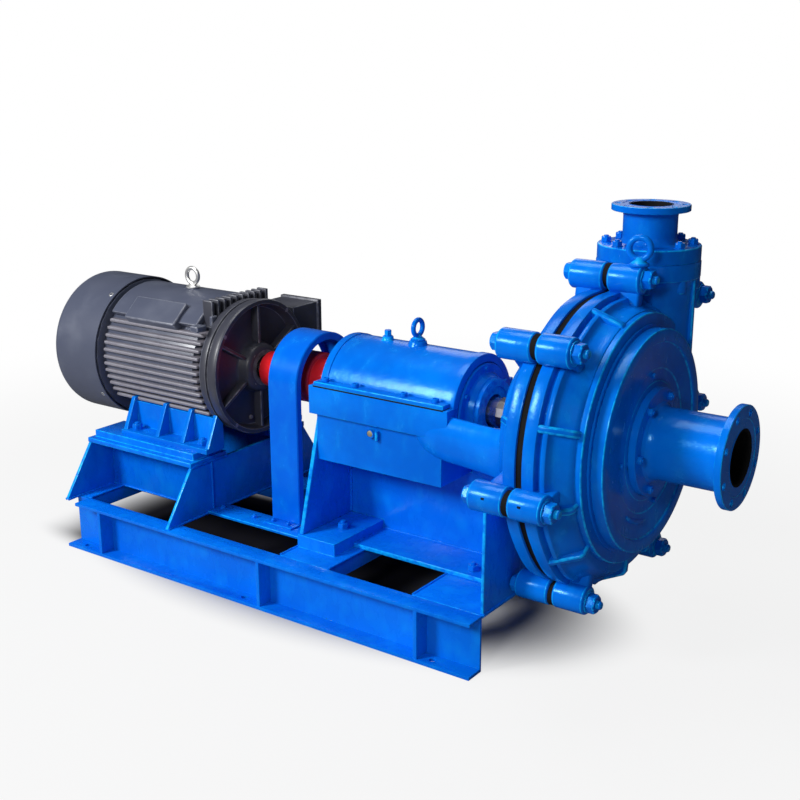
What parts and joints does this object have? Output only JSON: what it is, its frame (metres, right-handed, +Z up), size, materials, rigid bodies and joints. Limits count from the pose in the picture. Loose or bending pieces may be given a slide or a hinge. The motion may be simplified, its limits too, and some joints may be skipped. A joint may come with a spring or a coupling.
{
  "type": "horizontal slurry pump set",
  "caption": "Horizontal metal-lined slurry pump with end suction and raised side discharge, direct coupled to a finned electric motor on a welded steel base.",
  "frame": {"origin": "on the floor, midway between the ends and the sides of the welded base, straight under the shaft", "axes": "+X along the shaft from the motor to the suction flange, +Y toward the side that the discharge stands on, +Z up"},
  "size_m": [2.406, 1.0069, 1.235],
  "materials": {
    "blue_enamel": "gloss enamel",
    "charcoal_paint": "satin paint",
    "red_enamel": "gloss enamel",
    "bright_steel": "machined",
    "bearing_steel": "ground",
    "white_iron": "as cast, machined joints",
    "core_steel": "laminated core",
    "brass": "polished",
    "fan_plastic": "moulded"
  },
  "bodies": {
    "pump_set": {"base_channel_far": "blue_enamel", "base_channel_near": "blue_enamel", "base_cross_front": "blue_enamel", "base_cross_middle": "blue_enamel", "base_cross_rear": "blue_enamel", "bearing_barrel": "blue_enamel", "bearing_bracket": "blue_enamel", "bearing_cover": "blue_enamel", "bearing_eye_bolt": "blue_enamel", "casing_bolt_1": "blue_enamel", "casing_bolt_2": "blue_enamel", "casing_bolt_3": "blue_enamel", "casing_bolt_4": "blue_enamel", "casing_bolt_5": "blue_enamel", "casing_bolt_6": "blue_enamel", "casing_bolt_7": "blue_enamel", "casing_eye_bolt": "blue_enamel", "casing_front": "blue_enamel", "casing_rear": "blue_enamel", "coupling_guard": "blue_enamel", "cover_plate": "blue_enamel", "discharge_pipe": "blue_enamel", "drive_end_shield": "charcoal_paint", "end_cover_front": "blue_enamel", "end_cover_rear": "blue_enamel", "fan_cowl": "charcoal_paint", "fan_end_shield": "charcoal_paint", "gland": "blue_enamel", "guard_rail_far": "blue_enamel", "guard_rail_near": "blue_enamel", "liner_rear": "white_iron", "motor_bearing_drive": "bearing_steel", "motor_bearing_fan": "bearing_steel", "motor_eye_bolt": "bright_steel", "motor_foot_far": "blue_enamel", "motor_foot_near": "blue_enamel", "motor_frame": "charcoal_paint", "oil_sight": "brass", "pedestal_plate_front": "blue_enamel", "pedestal_plate_rear": "blue_enamel", "pedestal_web": "blue_enamel", "pump_bearing_front": "bearing_steel", "pump_bearing_rear": "bearing_steel", "stand_plate_front": "blue_enamel", "stand_plate_rear": "blue_enamel", "stand_web_far": "blue_enamel", "stand_web_near": "blue_enamel", "stator_core": "core_steel", "stuffing_box": "blue_enamel", "suction_pipe": "blue_enamel", "terminal_box": "charcoal_paint", "throat_bush": "white_iron", "volute_liner": "white_iron"},
    "motor_spindle": {"motor_rotor": "bright_steel", "cooling_fan": "fan_plastic", "motor_coupling": "red_enamel"},
    "pump_spindle": {"pump_shaft": "bright_steel", "shaft_sleeve": "bright_steel", "impeller": "white_iron", "pump_coupling": "red_enamel"}
  },
  "joints": [
    {"name": "pump_spin", "type": "hinge", "parent": "pump_set", "child": "pump_spindle", "pos_m": [0.35, 0, 0.635], "axis": [1, 0, 0], "continuous": true},
    {"name": "motor_spin", "type": "hinge", "parent": "pump_set", "child": "motor_spindle", "pos_m": [-0.58, 0, 0.635], "axis": [1, 0, 0], "continuous": true}
  ],
  "couplings": [
    {"joint": "motor_spin", "follows": "pump_spin", "ratio": 1}
  ]
}
